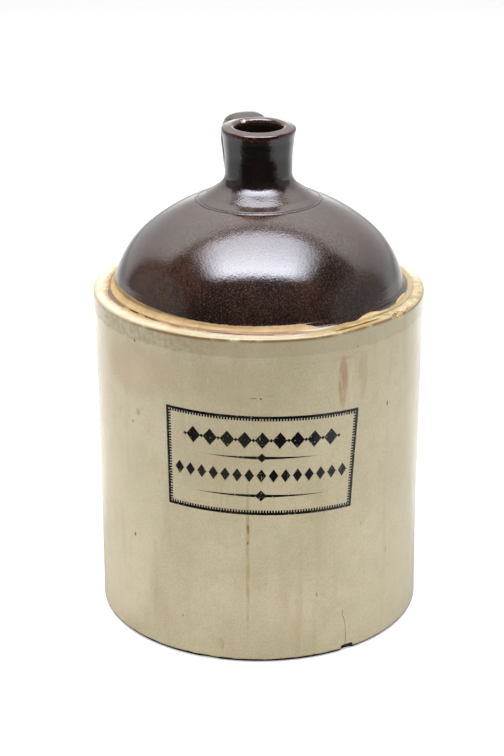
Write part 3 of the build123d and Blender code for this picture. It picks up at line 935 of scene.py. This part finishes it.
table_top = sheet("table_top", -table_edge, table_end, table_half)
for corner in table_top.data.vertices:
    corner.co = to_right * corner.co.x - to_eye * corner.co.y - Vector((0, 0, table_drop))
white = Recipe(bpy.data.materials.new("white_table"))
rays = white.node("LightPath").outputs
place = white.coordinates["Object"]
from_jug = white.feed(white.node("VectorMath", operation="LENGTH"), Vector=place).outputs["Value"]
far = white.rise(from_jug, 0.9, 2.5)
bearing = white.math("ARCTAN2", white.along(place, to_right), white.along(place, to_eye))
sides = white.rise(white.math("ABSOLUTE", bearing), radians(135), radians(110))
shade = white.lay((231, 231, 231), (180, 180, 180), rays["Is Glossy Ray"], sides)
before = white.between(bearing, radians(-59), radians(35), radians(3))
shade = white.lay(shade, (50, 50, 50), rays["Is Glossy Ray"], before)
# Painted reflection: for glossy rays the table glows near behind the jug and far away, in place of a
# bright room
behind = white.rise(white.math("ABSOLUTE", bearing), radians(120), radians(145))
near_glow = white.minus(0.4, white.times(far, 0.25))
near_glow = white.times(behind, white.rise(from_jug, 0.4, 0.5), near_glow)
far = white.plus(near_glow, white.times(far, white.minus(1.0, behind), 0.75))
seen = white.times(white.most(rays["Is Camera Ray"], rays["Is Transmission Ray"]), 0.5)
seen = white.plus(seen, white.times(rays["Is Glossy Ray"], far))
white.feed(
    white.tree.nodes["Principled BSDF"],
    Base_Color=shade, Roughness=0.9, Emission_Color=(255, 255, 255), Emission_Strength=seen,
)
table_top.data.materials.append(white.owner)

# The lamp lights what is dull, and its glowing face, brighter to the front, is what a gloss shows of it
lamp_tilt, lamp_distance, aim_height = radians(80.5), 1.0, 0.2
lamp_wide, lamp_deep, face_wide = 1.4, 1.0, 1.6
lamp_brightness = 5.0
face_brightness = 11.6
upwards = to_eye * cos(lamp_tilt) + Vector((0, 0, sin(lamp_tilt)))
backwards = upwards.cross(to_right)
lamp_place = Matrix.Translation(Vector((0, 0, aim_height)) + upwards * lamp_distance)
lamp_place = lamp_place @ Matrix((to_right, backwards, upwards)).transposed().to_4x4()
lamp = bpy.data.lights.new("overhead_lamp", "AREA")
lamp.shape = "RECTANGLE"
lamp.size, lamp.size_y = lamp_wide, lamp_deep
lamp.energy = lamp_brightness * 4 * lamp_wide * lamp_deep
overhead_lamp = bpy.data.objects.new("overhead_lamp", lamp)
bpy.context.scene.collection.objects.link(overhead_lamp)
overhead_lamp.matrix_world = lamp_place
overhead_lamp.visible_camera = False
overhead_lamp.visible_glossy = False

lamp_face = sheet("lamp_face", -lamp_deep / 2, lamp_deep / 2, face_wide / 2)
lamp_face.matrix_world = lamp_place
lamp_face.visible_camera = False
lamp_face.visible_diffuse = False
lamp_face.visible_shadow = False
glow = Recipe(bpy.data.materials.new("lamp_glow"))
wide_of, back_of = glow.parts(glow.coordinates["Object"])[:2]
fade = glow.minus(1.0, glow.times(glow.rise(back_of, -0.25, 0.35), 0.5))
soft = glow.rise(glow.math("ABSOLUTE", wide_of), 0.79, 0.32)
soft = glow.times(soft, glow.rise(back_of, -0.42, -0.28), glow.rise(back_of, 0.42, 0.39))
strength = glow.times(fade, soft, face_brightness)
glow.feed(
    glow.tree.nodes["Principled BSDF"],
    Base_Color=(0, 0, 0), Emission_Color=(240, 243, 255), Emission_Strength=strength,
)
lamp_face.data.materials.append(glow.owner)

room = Recipe(bpy.data.worlds.new("room"))
bpy.context.scene.world = room.owner
direction = room.coordinates["Generated"]
climb = room.parts(direction)[2]
sideways = room.along(direction, to_right)
over = room.math("ABSOLUTE", room.math("ARCTAN2", climb, room.along(direction, to_eye)))
aside = room.math("ABSOLUTE", sideways)
reach = room.minus(aside, room.times(room.rise(sideways, -0.1, 0.1), 0.1))
horizon = room.times(room.rise(over, radians(163), radians(172)), room.rise(aside, 0.3, 0.12), 1.5)
wall_light = room.plus(1.0, room.times(room.rise(climb, 0.35, 0.85), 0.9), horizon)
wall_level = room.minus(0.92, room.times(room.rise(sideways, 0.3, 0.6), 0.12))
wall_top = room.rise(over, radians(110.5), radians(112))
behind = room.times(wall_level, wall_top, wall_light, room.rise(reach, 0.84, 0.7))
beside = room.times(room.rise(aside, 0.75, 0.9), 0.27)
light = room.most(behind, beside, 0.03, room.node("LightPath").outputs["Is Camera Ray"])
room.feed(room.tree.nodes["Background"], Color=(255, 255, 255), Strength=light)

bpy.context.scene.view_settings.view_transform = "Standard"
